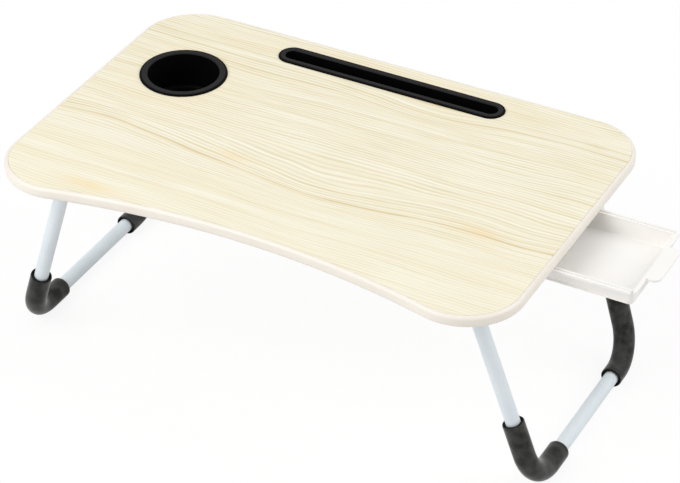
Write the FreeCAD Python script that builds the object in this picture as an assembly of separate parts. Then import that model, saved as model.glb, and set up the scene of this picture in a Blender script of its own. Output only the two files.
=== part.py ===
"""Folding laptop table with a pull-out side drawer, a cup holder and a tablet slot.

Millimetres. The origin is the centre of the table's top face, +X runs along the length towards
the drawer, +Y towards the back edge with the slot, and +Z is up. The feet stand at
Z = -STAND_HEIGHT. The legs are unfolded and the drawer is part of the way out.
"""
import FreeCAD, Part
import math
import os

# ---------------------------------------------------------------- driving dimensions
TABLE_LENGTH = 600.0          # along X
TABLE_DEPTH = 400.0           # along Y
STAND_HEIGHT = 263.4          # floor to the top face, legs unfolded
CORNER_R = 65.0               # plan radius of all four corners
FRONT_DIP = 28.0              # how far the waist of the front edge is drawn back

CORE_THICK = 12.0             # fibreboard core
TOP_FILM = 0.6                # wood-grain laminate
BOTTOM_FILM = 0.4             # white backing film
BAND_WIDTH = 4.5              # edge band seen from above
BAND_ROUND = 4.0              # rounding of the band's outer edges
TONGUE_THICK = 2.6            # the band's tongue, in the groove of the core
TONGUE_DEPTH = 6.0

CUP_X, CUP_Y = -210.5, 69.0   # axis of the cup holder
CUP_R = 40.0                  # inside radius of the cup well
CUP_FLANGE = 9.0              # width of its flange
CUP_DEPTH = 42.0              # top face to the floor of the well
CUP_FLANGE_TOP = 2.0          # height of the flange over the top face

SLOT_X, SLOT_Y = 1.0, 160.0   # centre of the tablet slot
SLOT_LENGTH, SLOT_WIDTH = 262.0, 17.5
SLOT_FLANGE = 7.8
SLOT_DEPTH = 14.0
SLOT_FLANGE_TOP = 1.8
INSERT_WALL = 1.8             # moulded wall of both black inserts

TUBE_R, TUBE_WALL = 8.0, 1.0  # leg tube
SLEEVE_R = 12.0               # foam sleeve over each lower bend
LEG_BEND_R = 40.0             # centreline radius of the bends
FOOT_X = 312.0                # foot bar's centreline from the middle of the table
FOOT_FRONT_Y = -112.5         # where each upright's centreline would meet the foot bar's
FOOT_REAR_Y = 142.5
LEG_SPLAY = 0.326             # outward lean of the leg frames, dx / dz
LEG_SPREAD = 0.07             # how the two uprights open towards the top, dy / dz
SLEEVE_UP = {-1: 33.0, 1: 44.0}   # left and right sleeve past the bend, up the upright
SLEEVE_ALONG = {"front": 26.0, "rear": 15.0}   # sleeve past the bend, along the foot bar
MOUTH_R, MOUTH_DEPTH = 9.5, 3.0   # relief round the tube at each end of a sleeve

PIVOT_DROP = 35.0             # top face to the hinge axis
PIN_R = 2.5
PIN_CLEARANCE = 0.05          # radial, in the knuckle
KNUCKLE_R = 10.0
KNUCKLE_WIDTH = 22.0
SOCKET_START, SOCKET_END = 5.6, 20.0   # the tube's socket, measured from the hinge axis
EAR_THICK = 3.5
EAR_GAP = 0.2                 # between the knuckle and each ear
STOP_GAP = 0.3                # between the unfolded knuckle and the bracket's stop web
BRACKET_BASE = 4.0            # thickness of the bracket's base plate

DRAWER_LENGTH = 235.5         # outside, without the finger tab
DRAWER_OUT = 87.0             # how far the drawer stands out
DRAWER_TOP = 14.0             # top face of the table to the drawer's rim
DRAWER_HEIGHT = 21.0
DRAWER_HALF = 57.0            # half width at the rim, over the side walls
DRAWER_DRAFT = 3.0            # how much each wall leans in on its way down
DRAWER_WALL = 2.0
RIM_WIDTH, RIM_THICK = 5.0, 2.6   # side rims, which run in the rails
TAB_HALF, TAB_REACH, TAB_R = 31.5, 13.2, 9.0

RAIL_THICK = 2.0
RAIL_START, RAIL_END = 62.2, 296.0
RAIL_FOOT = 17.0              # width of the screwed foot
SCREW_R, SCREW_HEAD_R = 1.75, 3.8
SCREW_BITE = 8.5              # depth of the screws in the board
SCREW_TIP = 2.0

# ---------------------------------------------------------------- places worked out from them
BOARD_BOTTOM = -(TOP_FILM + CORE_THICK + BOTTOM_FILM)
FOOT_Z = -(STAND_HEIGHT - SLEEVE_R)
PIVOT_Z = -PIVOT_DROP
PIVOT_X = FOOT_X - LEG_SPLAY * (PIVOT_Z - FOOT_Z)
SPLAY_ANGLE = math.degrees(math.atan(LEG_SPLAY))
DRAWER_FRONT = TABLE_LENGTH / 2 + DRAWER_OUT
DRAWER_REAR = DRAWER_FRONT - DRAWER_LENGTH
SIDES = {"left": -1, "right": 1}
CORNERS = {"front": (FOOT_FRONT_Y, -1), "rear": (FOOT_REAR_Y, 1)}

V = FreeCAD.Vector
Z_AXIS = V(0, 0, 1)
Y_AXIS = V(0, 1, 0)


# ---------------------------------------------------------------- small helpers
def save(shape, node):
    """Write one sub-part, without the seams that fusing leaves, as a STEP file."""
    shape = shape.removeSplitter()
    if not shape.isValid():
        raise ValueError(node + " is not a valid solid")
    shape.exportStep("parts/" + node + ".step")
    print("%-28s %2d solid(s) %10.1f mm3" % (node, len(shape.Solids), shape.Volume))


def raise_profile(wire, low, high):
    """Prism from a flat wire drawn at Z = 0, between two heights."""
    face = Part.Face(wire)
    face.translate(V(0, 0, low))
    return face.extrude(V(0, 0, high - low))


def block(x_range, y_range, z_range):
    """Upright box between two limits along each axis."""
    corner = V(x_range[0], y_range[0], z_range[0])
    size = [limits[1] - limits[0] for limits in (x_range, y_range, z_range)]
    return Part.makeBox(*size, corner)


def quarter_arc(corner, to_start, to_end, radius):
    """Arc that rounds a square corner, from the side of one direction to the other."""
    middle = corner + (to_start + to_end) * radius * (1 - math.sqrt(0.5))
    return Part.Arc(corner + to_start * radius, middle, corner + to_end * radius).toShape()


def rounded_rectangle(x_range, y_range, radius, z=0.0):
    """Closed wire of a rectangle with four equal corner arcs."""
    (x0, x1), (y0, y1) = x_range, y_range
    east, north = V(1, 0), V(0, 1)
    arcs = [quarter_arc(V(x1, y0, z), -east, north, radius),
            quarter_arc(V(x1, y1, z), -north, -east, radius),
            quarter_arc(V(x0, y1, z), east, -north, radius),
            quarter_arc(V(x0, y0, z), north, east, radius)]
    edges = []
    for arc, following in zip(arcs, arcs[1:] + arcs[:1]):
        edges.append(arc)
        edges.append(Part.makeLine(arc.lastVertex().Point, following.firstVertex().Point))
    return Part.Wire(edges)


def stadium(length, width):
    """Wire of a slot with round ends, centred on the tablet slot."""
    radius = width / 2
    reach = length / 2 - radius
    right, left = V(SLOT_X + reach, SLOT_Y), V(SLOT_X - reach, SLOT_Y)
    up, out = V(0, radius), V(radius, 0)
    return Part.Wire([
        Part.makeLine(left - up, right - up),
        Part.Arc(right - up, right + out, right + up).toShape(),
        Part.makeLine(right + up, left + up),
        Part.Arc(left + up, left - out, left - up).toShape()])


def polygon_xz(points, y_range):
    """Prism across Y of a closed outline of (x, z) points."""
    loop = [V(x, y_range[0], z) for x, z in points]
    face = Part.Face(Part.makePolygon(loop + loop[:1]))
    return face.extrude(V(0, y_range[1] - y_range[0], 0))


def level_edges(shape, z):
    """Edges of a shape that lie flat at one height."""
    def flat(edge):
        return abs(edge.BoundBox.ZMin - z) < 1e-3 and abs(edge.BoundBox.ZMax - z) < 1e-3
    return [edge for edge in shape.Edges if flat(edge)]


def fuse_all(shapes):
    return shapes[0].multiFuse(shapes[1:])


# ---------------------------------------------------------------- table top
def table_outline(inset):
    """Plan outline: straight back and sides, round corners and a waisted front edge.

    The waist is one long arc, tangent to the two front corner arcs, and every inset copy keeps
    the same arc centres.
    """
    corner_x = TABLE_LENGTH / 2 - CORNER_R
    corner_y = TABLE_DEPTH / 2 - CORNER_R
    centre_gap = (corner_x ** 2 + FRONT_DIP ** 2) / (2 * FRONT_DIP)   # waist to corner centre
    radius = CORNER_R - inset
    lean = V(corner_x, centre_gap - FRONT_DIP) / centre_gap
    right, left = V(corner_x, -corner_y), V(-corner_x, -corner_y)
    lean_left = V(-lean.x, lean.y)
    waist = V(0, -TABLE_DEPTH / 2 + FRONT_DIP + inset)
    back_right, back_left = V(corner_x, corner_y), V(-corner_x, corner_y)
    east, north = V(1, 0), V(0, 1)

    def corner(centre, start, end):
        middle = (start + end).normalize()
        points = [centre + direction * radius for direction in (start, middle, end)]
        return Part.Arc(*points).toShape()

    arcs = [corner(right, lean * -1, east), corner(back_right, east, north),
            corner(back_left, north, east * -1), corner(left, east * -1, lean_left * -1)]
    sides = []
    for before, after in zip(arcs, arcs[1:]):
        sides.append(Part.makeLine(before.lastVertex().Point, after.firstVertex().Point))
    front = Part.Arc(arcs[3].lastVertex().Point, waist, arcs[0].firstVertex().Point).toShape()
    return Part.Wire([arcs[0], sides[0], arcs[1], sides[1], arcs[2], sides[2], arcs[3], front])


def tongue_ring(depth, thick):
    """Ring in the middle of the core's edge: the band's tongue, or the groove for it."""
    middle = -(TOP_FILM + CORE_THICK / 2)
    low, high = middle - thick / 2, middle + thick / 2
    outer = raise_profile(table_outline(BAND_WIDTH), low, high)
    return outer.cut(raise_profile(table_outline(BAND_WIDTH + depth), low, high))


def insert_openings(clearance):
    """Tools that cut the two wells through the board."""
    low, high = BOARD_BOTTOM - 1, 1
    wall = INSERT_WALL + clearance
    cup = Part.makeCylinder(CUP_R + wall, high - low, V(CUP_X, CUP_Y, low))
    slot = raise_profile(stadium(SLOT_LENGTH + 2 * wall, SLOT_WIDTH + 2 * wall), low, high)
    return [cup, slot]


def flange_openings(clearance):
    """Tools that cut the laminate to the outlines of the two flanges."""
    rim = 2 * (SLOT_FLANGE + clearance)
    cup = Part.makeCylinder(CUP_R + CUP_FLANGE + clearance, 2, V(CUP_X, CUP_Y, -1))
    slot = raise_profile(stadium(SLOT_LENGTH + rim, SLOT_WIDTH + rim), -1, 1)
    return [cup, slot]


def board_core():
    core = raise_profile(table_outline(BAND_WIDTH), BOARD_BOTTOM + BOTTOM_FILM, -TOP_FILM)
    return core.cut([tongue_ring(TONGUE_DEPTH, TONGUE_THICK)] + insert_openings(0.4) + screw_shanks())


def top_laminate():
    sheet = raise_profile(table_outline(BAND_WIDTH), -TOP_FILM, 0)
    return sheet.cut(flange_openings(0.25))


def underside_film():
    sheet = raise_profile(table_outline(BAND_WIDTH), BOARD_BOTTOM, BOARD_BOTTOM + BOTTOM_FILM)
    return sheet.cut(insert_openings(0.4) + screw_shanks())


def edge_band():
    """Plastic T-section all round the board, with rounded outer edges."""
    outer = raise_profile(table_outline(0), BOARD_BOTTOM, 0)
    rounded = outer.makeFillet(BAND_ROUND, level_edges(outer, 0) + level_edges(outer, BOARD_BOTTOM))
    ring = rounded.cut(raise_profile(table_outline(BAND_WIDTH), BOARD_BOTTOM, 0))
    return ring.fuse(tongue_ring(TONGUE_DEPTH, TONGUE_THICK))


# ---------------------------------------------------------------- black inserts
def cup_holder():
    """Turned well with a rounded flange, and four snap wedges that grip under the board."""
    floor = -CUP_DEPTH
    outside = CUP_R + INSERT_WALL
    flange_r = CUP_R + CUP_FLANGE
    lip, foot_round = 1.4, 5.0
    out = V(1, 0, 0)
    profile = Part.Wire([
        Part.makeLine(V(0, 0, floor), V(CUP_R - foot_round, 0, floor)),
        quarter_arc(V(CUP_R, 0, floor), -out, Z_AXIS, foot_round),
        Part.makeLine(V(CUP_R, 0, floor + foot_round), V(CUP_R, 0, CUP_FLANGE_TOP - lip)),
        quarter_arc(V(CUP_R, 0, CUP_FLANGE_TOP), -Z_AXIS, out, lip),
        Part.makeLine(V(CUP_R + lip, 0, CUP_FLANGE_TOP), V(flange_r - lip, 0, CUP_FLANGE_TOP)),
        quarter_arc(V(flange_r, 0, CUP_FLANGE_TOP), -out, -Z_AXIS, lip),
        Part.makePolygon([V(flange_r, 0, CUP_FLANGE_TOP - lip), V(flange_r, 0, -TOP_FILM),
                          V(outside, 0, -TOP_FILM), V(outside, 0, floor + foot_round - 1),
                          V(outside - foot_round, 0, floor - INSERT_WALL),
                          V(0, 0, floor - INSERT_WALL), V(0, 0, floor)])])
    well = Part.Face(profile).revolve(V(0, 0, 0), Z_AXIS, 360)
    grip_top, grip_low = BOARD_BOTTOM - 0.3, BOARD_BOTTOM - 5
    wedge = Part.makePolygon([V(outside - 0.5, 0, grip_top), V(outside + 1.8, 0, grip_top),
                              V(outside, 0, grip_low), V(outside - 0.5, 0, grip_low),
                              V(outside - 0.5, 0, grip_top)])
    wedges = []
    for turn in (35, 125, 215, 305):
        one = Part.Face(wedge).revolve(V(0, 0, 0), Z_AXIS, 20)
        one.rotate(V(0, 0, 0), Z_AXIS, turn)
        wedges.append(one)
    holder = fuse_all([well] + wedges)
    holder.translate(V(CUP_X, CUP_Y, 0))
    return holder


def tablet_slot():
    """Trough with round ends and a flange that lies on the board."""
    rim = 2 * SLOT_FLANGE
    flange = raise_profile(stadium(SLOT_LENGTH + rim, SLOT_WIDTH + rim), -TOP_FILM, SLOT_FLANGE_TOP)
    flange = flange.makeFillet(1.2, level_edges(flange, SLOT_FLANGE_TOP))
    wall = 2 * INSERT_WALL
    body = raise_profile(stadium(SLOT_LENGTH + wall, SLOT_WIDTH + wall), -SLOT_DEPTH - INSERT_WALL, 0)
    body = body.makeFillet(1.5, level_edges(body, -SLOT_DEPTH - INSERT_WALL))
    trough = flange.fuse(body).cut(
        raise_profile(stadium(SLOT_LENGTH, SLOT_WIDTH), -SLOT_DEPTH, SLOT_FLANGE_TOP + 1))
    return trough


# ---------------------------------------------------------------- legs
def leg_frame(side):
    """Hinge points, corner points and unit directions of one U-shaped leg."""
    frame = {}
    for name, (foot_y, outward) in CORNERS.items():
        rise = PIVOT_Z - FOOT_Z
        hinge = V(side * PIVOT_X, foot_y + outward * LEG_SPREAD * rise, PIVOT_Z)
        corner = V(side * FOOT_X, foot_y, FOOT_Z)
        frame[name] = (hinge, corner, (corner - hinge).normalize())
    return frame


def bend(corner, towards_a, towards_b):
    """Tangent arc of LEG_BEND_R across a corner: its start, middle and end."""
    half_angle = towards_a.getAngle(towards_b) / 2
    setback = LEG_BEND_R / math.tan(half_angle)
    bisector = (towards_a + towards_b).normalize()
    centre = corner + bisector * (LEG_BEND_R / math.sin(half_angle))
    return corner + towards_a * setback, centre - bisector * LEG_BEND_R, corner + towards_b * setback


def pipe(points, radius):
    """Round bar along a straight, an arc and so on: points alternate line end, arc middle, arc end."""
    edges = [Part.makeLine(points[0], points[1])]
    for i in range(1, len(points) - 1, 3):
        edges.append(Part.Arc(points[i], points[i + 1], points[i + 2]).toShape())
        edges.append(Part.makeLine(points[i + 2], points[i + 3]))
    ring = Part.Wire(Part.makeCircle(radius, points[0], points[1] - points[0]))
    return Part.Wire(edges).makePipeShell([ring], True, False)


def leg_tube(side):
    """Steel tube bent to a U, open at both ends, which sit in the hinge knuckles."""
    frame = leg_frame(side)
    path = []
    (hinge, corner, down), (far_hinge, far_corner, far_down) = frame["front"], frame["rear"]
    path.append(hinge + down * (SOCKET_START + 0.2))
    path += bend(corner, down * -1, Y_AXIS)
    path += bend(far_corner, Y_AXIS * -1, far_down * -1)
    path.append(far_hinge + far_down * (SOCKET_START + 0.2))
    return pipe(path, TUBE_R).cut(pipe(path, TUBE_R - TUBE_WALL))


def foot_sleeve(side, end):
    """Foam sleeve over one lower bend, with softened ends and a relief round the tube at each."""
    hinge, corner, down = leg_frame(side)[end]
    inward = Y_AXIS * -CORNERS[end][1]
    start, middle, stop = bend(corner, down * -1, inward)
    path = [start - down * SLEEVE_UP[side], start, middle, stop, stop + inward * SLEEVE_ALONG[end]]
    sleeve = pipe(path, SLEEVE_R)
    rims = [edge for edge in sleeve.Edges if is_end_circle(edge, path)]
    mouths = [Part.makeCylinder(MOUTH_R, MOUTH_DEPTH, path[0], down),
              Part.makeCylinder(MOUTH_R, MOUTH_DEPTH, path[-1], inward * -1)]
    return sleeve.makeFillet(2.0, rims).cut([pipe(path, TUBE_R)] + mouths)


def is_end_circle(edge, path):
    """True for the outer circle at either end of a sleeve."""
    if not isinstance(edge.Curve, Part.Circle) or not edge.isClosed():
        return False
    centre = edge.Curve.Center
    return min(centre.distanceToPoint(path[0]), centre.distanceToPoint(path[-1])) < 1e-3


def hinge_knuckle(side, end):
    """Moulded end of an upright: an eye for the pin and a socket for the tube."""
    hinge, corner, down = leg_frame(side)[end]
    half = KNUCKLE_WIDTH / 2
    eye = Part.makeCylinder(KNUCKLE_R, KNUCKLE_WIDTH, hinge - Y_AXIS * half, Y_AXIS)
    socket = Part.makeCylinder(KNUCKLE_R, SOCKET_END, hinge, down)
    bore = Part.makeCylinder(TUBE_R, SOCKET_END, hinge + down * SOCKET_START, down)
    pin_hole = Part.makeCylinder(PIN_R + PIN_CLEARANCE, 2 * half, hinge - Y_AXIS * half, Y_AXIS)
    knuckle = eye.fuse(socket)
    mouth = [edge for edge in knuckle.Edges if isinstance(edge.Curve, Part.Circle)
             and edge.Curve.Center.distanceToPoint(hinge + down * SOCKET_END) < 1e-3]
    return knuckle.makeFillet(1.0, mouth).cut([bore, pin_hole])


# ---------------------------------------------------------------- hinge brackets
def bracket_places():
    """Every bracket as (name, side, hinge point)."""
    for side_name, side in SIDES.items():
        for end in CORNERS:
            yield side_name + "_" + end, side, leg_frame(side)[end][0]


def bracket_screw_offsets():
    return [(x, y) for x in (-17.0, 19.0) for y in (-20.5, 20.5)]


def hinge_bracket(side, hinge):
    """Moulded clevis: base plate, two ears, a leaning stop web between them, and two ribs."""
    ceiling = BOARD_BOTTOM - PIVOT_Z
    base_low = ceiling - BRACKET_BASE
    inner = KNUCKLE_WIDTH / 2 + EAR_GAP
    outer = inner + EAR_THICK
    base = raise_profile(rounded_rectangle((-26, 28), (-27, 27), 7), base_low, ceiling)
    base = base.makeFillet(1.2, level_edges(base, base_low))

    lean = math.radians(SPLAY_ANGLE)
    down = V(math.sin(lean), 0, -math.cos(lean))
    out = V(math.cos(lean), 0, math.sin(lean))
    web_in = KNUCKLE_R + STOP_GAP
    web_out = web_in + EAR_THICK
    nose = KNUCKLE_R - 0.5
    tip = down * nose + out * web_out
    web_foot = down * nose + out * web_in

    def ear(low_y):
        shift = V(0, low_y, 0)
        left, bottom, right = V(-nose, 0, 0), V(-nose * 0.6, 0, -nose * 0.8), down * nose
        wire = Part.Wire([
            Part.makeLine(V(-17, 0, base_low), left),
            Part.Arc(left, bottom, right).toShape(),
            Part.makePolygon([right, tip, V(23, 0, base_low), V(-17, 0, base_low)])])
        face = Part.Face(wire)
        face.translate(shift)
        return face.extrude(V(0, EAR_THICK, 0))

    climb = (base_low + 1 - web_in * out.z) / -down.z
    top_in = out * web_in - down * climb
    web = polygon_xz([(web_foot.x, web_foot.z), (tip.x, tip.z), (23, base_low + 1),
                      (top_in.x, top_in.z)], (-outer, outer))
    ribs = []
    for direction in (-1, 1):
        rib = Part.Face(Part.makePolygon([
            V(-1.3, direction * (outer - 0.5), base_low + 1), V(-1.3, direction * 24.5, base_low + 1),
            V(-1.3, direction * 24.5, base_low), V(-1.3, direction * outer, 6.5),
            V(-1.3, direction * (outer - 0.5), 6.5), V(-1.3, direction * (outer - 0.5), base_low + 1)]))
        ribs.append(rib.extrude(V(2.6, 0, 0)))

    bracket = fuse_all([base, ear(inner), ear(-outer), web] + ribs)
    cuts = [Part.makeCylinder(PIN_R, 2 * outer, V(0, -outer, 0), Y_AXIS)]
    for x, y in bracket_screw_offsets():
        cuts.append(countersunk_screw(V(x, y, base_low), BRACKET_BASE))
    bracket = bracket.cut(cuts)
    return placed(bracket, side, hinge)


def placed(shape, side, hinge):
    """Turn a bracket piece to its side of the table and set it on the hinge point."""
    if side < 0:
        shape.rotate(V(0, 0, 0), Z_AXIS, 180)
    shape.translate(hinge)
    return shape


def hinge_pin(side, hinge):
    """Steel rivet with a domed head outside each ear."""
    reach = KNUCKLE_WIDTH / 2 + EAR_GAP + EAR_THICK
    head_r, head_high = 4.4, 1.6
    pin = Part.makeCylinder(PIN_R, 2 * reach, V(0, -reach, 0), Y_AXIS)
    heads = []
    for direction in (-1, 1):
        head = Part.makeCylinder(head_r, head_high, V(0, direction * reach, 0), Y_AXIS * direction)
        crown = [edge for edge in head.Edges if edge.isClosed()
                 and abs(edge.BoundBox.Center.y) > reach + head_high / 2]
        heads.append(head.makeFillet(1.1, crown))
    return placed(fuse_all([pin] + heads), side, hinge)


# ---------------------------------------------------------------- screws
def countersunk_screw(head, plate):
    """Wood screw pointing up through a plate, with its flat head flush at the plate's underside."""
    cone = 2.2
    top = cone + (plate - cone) + SCREW_BITE
    screw = [Part.makeCone(SCREW_HEAD_R, SCREW_R, cone, head),
             Part.makeCylinder(SCREW_R, top - cone - SCREW_TIP, head + V(0, 0, cone)),
             Part.makeCone(SCREW_R, 0.3, SCREW_TIP, head + V(0, 0, top - SCREW_TIP))]
    return fuse_all(screw)


def pan_screw(seat, plate):
    """Wood screw pointing up, with its round head under the plate."""
    head_high = 2.0
    head = Part.makeCylinder(SCREW_HEAD_R, head_high, seat - V(0, 0, head_high))
    head = head.makeFillet(1.2, level_edges(head, seat.z - head_high))
    top = plate + SCREW_BITE
    shank = [Part.makeCylinder(SCREW_R, top - SCREW_TIP, seat),
             Part.makeCone(SCREW_R, 0.3, SCREW_TIP, seat + V(0, 0, top - SCREW_TIP))]
    return fuse_all([head] + shank)


def bracket_screws():
    screws = []
    for name, side, hinge in bracket_places():
        for x, y in bracket_screw_offsets():
            head = V(hinge.x + side * x, hinge.y + side * y, BOARD_BOTTOM - BRACKET_BASE)
            screws.append(countersunk_screw(head, BRACKET_BASE))
    return screws


def rail_screws():
    screws = []
    for side_y in (-1, 1):
        for x in (86.0, 179.0, 272.0):
            y = side_y * (rail_web_y() + RAIL_THICK + 7.5)
            screws.append(pan_screw(V(x, y, BOARD_BOTTOM - RAIL_THICK), RAIL_THICK))
    return screws


def screw_shanks():
    """The parts of all screws that are inside the board, as cutting tools."""
    return bracket_screws() + rail_screws()


# ---------------------------------------------------------------- drawer
def rail_web_y():
    """Inner face of a rail's upright web."""
    return DRAWER_HALF + RIM_WIDTH + 1.0


def drawer_rail(side_y):
    """Plastic Z-section: screwed foot, web, and the lip that carries the drawer's rim."""
    web = rail_web_y()
    lip_top = -(DRAWER_TOP + RIM_THICK + 0.4)
    foot_bottom = BOARD_BOTTOM - RAIL_THICK
    length = (RAIL_START, RAIL_END)

    def strip(near, far, z_range, x_range=length):
        y_range = sorted((side_y * near, side_y * far))
        return block(x_range, y_range, z_range)

    rail = [strip(web, web + RAIL_FOOT, (foot_bottom, BOARD_BOTTOM)),
            strip(web, web + RAIL_THICK, (lip_top - RAIL_THICK, BOARD_BOTTOM)),
            strip(DRAWER_HALF + 1.8, web + 0.5, (lip_top - RAIL_THICK, lip_top)),
            strip(DRAWER_HALF + 1.8, web + 0.5, (lip_top - RAIL_THICK, BOARD_BOTTOM),
                  (RAIL_START, RAIL_START + RAIL_THICK))]
    foot_edge = side_y * (web + RAIL_FOOT)
    rail = fuse_all(rail).removeSplitter()
    ends = [edge for edge in rail.Edges if abs(edge.BoundBox.YMin - foot_edge) < 1e-3
            and edge.BoundBox.YLength < 1e-3 and edge.BoundBox.XLength < 1e-3]
    rail = rail.makeFillet(5.0, ends)
    return rail.cut(rail_screws())


def drawer_tray():
    """Thin drafted tray with side rims, a grooved top edge and a round-cornered finger tab."""
    top = -DRAWER_TOP
    bottom = top - DRAWER_HEIGHT
    lip = 2.0                     # the front rim stands out past the front wall
    front = DRAWER_FRONT - lip

    def ring(inset, z, radius):
        lean = DRAWER_DRAFT * (top - z) / DRAWER_HEIGHT + inset
        return rounded_rectangle((DRAWER_REAR + lean, front - lean),
                                 (-DRAWER_HALF + lean, DRAWER_HALF - lean), radius, z)

    shell = Part.makeLoft([ring(0, bottom, 5), ring(0, top, 6)], True, True)
    shell = shell.makeFillet(2.0, level_edges(shell, bottom))
    hollow_floor = bottom + DRAWER_WALL
    hollow = Part.makeLoft([ring(DRAWER_WALL, hollow_floor, 3), ring(DRAWER_WALL, top + 1, 4)], True, True)
    hollow = hollow.makeFillet(1.5, level_edges(hollow, hollow_floor))

    rim_z = (top - RIM_THICK, top)
    rims = []
    for side_y in (-1, 1):
        rims.append(block((DRAWER_REAR, front - 2.5),
                          sorted((side_y * (DRAWER_HALF - 1), side_y * (DRAWER_HALF + RIM_WIDTH))), rim_z))
        rims.append(block((DRAWER_REAR + 8, front - 8),
                          sorted((side_y * (DRAWER_HALF - 5), side_y * (DRAWER_HALF - 1.7))),
                          (bottom + 2.0, bottom + 3.6)))
    lip_wire = rounded_rectangle((front - 1.5, DRAWER_FRONT), (-DRAWER_HALF - 1, DRAWER_HALF + 1), 1.2)
    tab_wire = rounded_rectangle((front - 10, DRAWER_FRONT + TAB_REACH), (-TAB_HALF, TAB_HALF), TAB_R)
    front_lip = raise_profile(lip_wire, *rim_z)
    tab = raise_profile(tab_wire, *rim_z)
    bead_half = TAB_HALF - TAB_R
    bead_start = V(DRAWER_FRONT + TAB_REACH - 3.0, -bead_half, rim_z[0] + 0.3)
    bead = Part.makeCylinder(1.5, 2 * bead_half, bead_start, Y_AXIS)

    tray = fuse_all([shell, front_lip, tab, bead] + rims).cut(hollow)
    grooves = []
    for side_y in (-1, 1):
        y_range = sorted((side_y * (DRAWER_HALF + 0.6), side_y * (DRAWER_HALF + 2.2)))
        grooves.append(block((DRAWER_REAR - 1, front), y_range, (top - 0.9, top + 1)))
        grooves.append(Part.makeCylinder(1.2, RIM_THICK + 2,
                                         V(DRAWER_FRONT + 0.4, side_y * (TAB_HALF + 0.2), rim_z[0] - 1)))
    return tray.cut(grooves)


# ---------------------------------------------------------------- write every sub-part
def main():
    os.makedirs("parts", exist_ok=True)
    save(board_core(), "board_core")
    save(top_laminate(), "top_laminate")
    save(underside_film(), "underside_film")
    save(edge_band(), "edge_band")
    save(cup_holder(), "cup_holder")
    save(tablet_slot(), "tablet_slot")
    save(drawer_rail(-1), "drawer_rail_front")
    save(drawer_rail(1), "drawer_rail_rear")
    save(Part.makeCompound(rail_screws()), "rail_screws")
    save(Part.makeCompound(bracket_screws()), "bracket_screws")
    save(drawer_tray(), "drawer_tray")
    for side_name, side in SIDES.items():
        save(leg_tube(side), "leg_tube_" + side_name)
    for name, side, hinge in bracket_places():
        end = name.split("_")[1]
        save(hinge_bracket(side, hinge), "hinge_bracket_" + name)
        save(hinge_pin(side, hinge), "hinge_pin_" + name)
        save(hinge_knuckle(side, end), "hinge_knuckle_" + name)
        save(foot_sleeve(side, end), "foot_sleeve_" + name)


main()
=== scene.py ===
# %% [markdown]
# # A folding laptop table, dressed for a picture
# The CAD frame brings every hard part at its real size, in metres. The origin is the centre of
# the table's top face: X runs along the table to the drawer, Y to the back edge, and Z up.
# This lesson gives each part its finish, and builds again those pieces whose soft edges, joints
# or foam show up close. Each new piece rides on the same body as the part that it stands for.

# %% Load the frame
import bpy
import bmesh
import math
from mathutils import Matrix, Vector


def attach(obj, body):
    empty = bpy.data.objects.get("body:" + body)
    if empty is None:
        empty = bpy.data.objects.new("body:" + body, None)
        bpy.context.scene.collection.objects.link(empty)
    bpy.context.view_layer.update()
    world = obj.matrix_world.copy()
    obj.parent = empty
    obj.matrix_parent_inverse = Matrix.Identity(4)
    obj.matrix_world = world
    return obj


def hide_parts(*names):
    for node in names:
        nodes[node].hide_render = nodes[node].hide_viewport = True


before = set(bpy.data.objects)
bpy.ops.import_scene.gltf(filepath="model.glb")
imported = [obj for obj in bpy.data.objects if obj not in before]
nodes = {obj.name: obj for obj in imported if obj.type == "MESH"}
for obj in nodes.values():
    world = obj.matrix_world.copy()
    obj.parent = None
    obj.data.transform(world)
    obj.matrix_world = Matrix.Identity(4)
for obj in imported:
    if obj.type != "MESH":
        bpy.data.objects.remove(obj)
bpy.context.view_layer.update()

print("Loaded", len(nodes), "CAD nodes")

# %% [markdown]
# ## Units, colours and shader nodes
# Sizes are easier to think about in millimetres, and colours as sRGB hex codes, so two small
# functions turn them into what Blender wants. A third adds any shader node, with its settings
# and its links. Most finishes here are alike in one way: their colour drifts a little from
# place to place, and a fine grain sets both the shine and the relief. One function makes them.

# %% Small helpers
NOISE_SPAN = {"From Min": 0.3, "From Max": 0.7}   # nearly all of a noise's values lie in here


def mm(value):
    """Millimetres to metres."""
    return value * 0.001


def linear(hex_code):
    """An sRGB colour such as "f3ebd3" as linear red, green, blue and alpha."""
    channels = [int(hex_code[i:i + 2], 16) / 255 for i in (0, 2, 4)]
    curve = [c / 12.92 if c <= 0.04045 else ((c + 0.055) / 1.055) ** 2.4 for c in channels]
    return (*curve, 1.0)


def set_stops(elements, stops):
    """Give a colour ramp its (position, hex colour) pairs."""
    for position, _ in stops[2:]:
        elements.new(position)
    for element, (position, hex_code) in zip(elements, stops):
        element.position = position
        element.color = linear(hex_code)


def add_node(tree, kind, settings=None, links=None, output=0):
    """Add a shader node with its settings and its links, and return one of its outputs."""
    node = tree.nodes.new("ShaderNode" + kind)
    for name, value in (settings or {}).items():
        if name == "stops":
            set_stops(node.color_ramp.elements, value)
        elif isinstance(name, int) or name in node.inputs:
            node.inputs[name].default_value = value
        else:
            setattr(node, name, value)
    for name, source in (links or {}).items():
        tree.links.new(source, node.inputs[name])
    return node.outputs[output]


def new_material(name, **sockets):
    """A material with one Principled shader, and the values that are the same all over it."""
    material = bpy.data.materials.new(name)
    material.use_nodes = True
    shader = material.node_tree.nodes["Principled BSDF"]
    for socket, value in sockets.items():
        shader.inputs[socket.replace("_", " ")].default_value = value
    return material, material.node_tree, shader


def dress(tree, shader, colour, shine, bump):
    """Lead the three things that vary over a surface into its shader."""
    for name, source in (("Base Color", colour), ("Roughness", shine), ("Normal", bump)):
        tree.links.new(source, shader.inputs[name])


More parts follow.
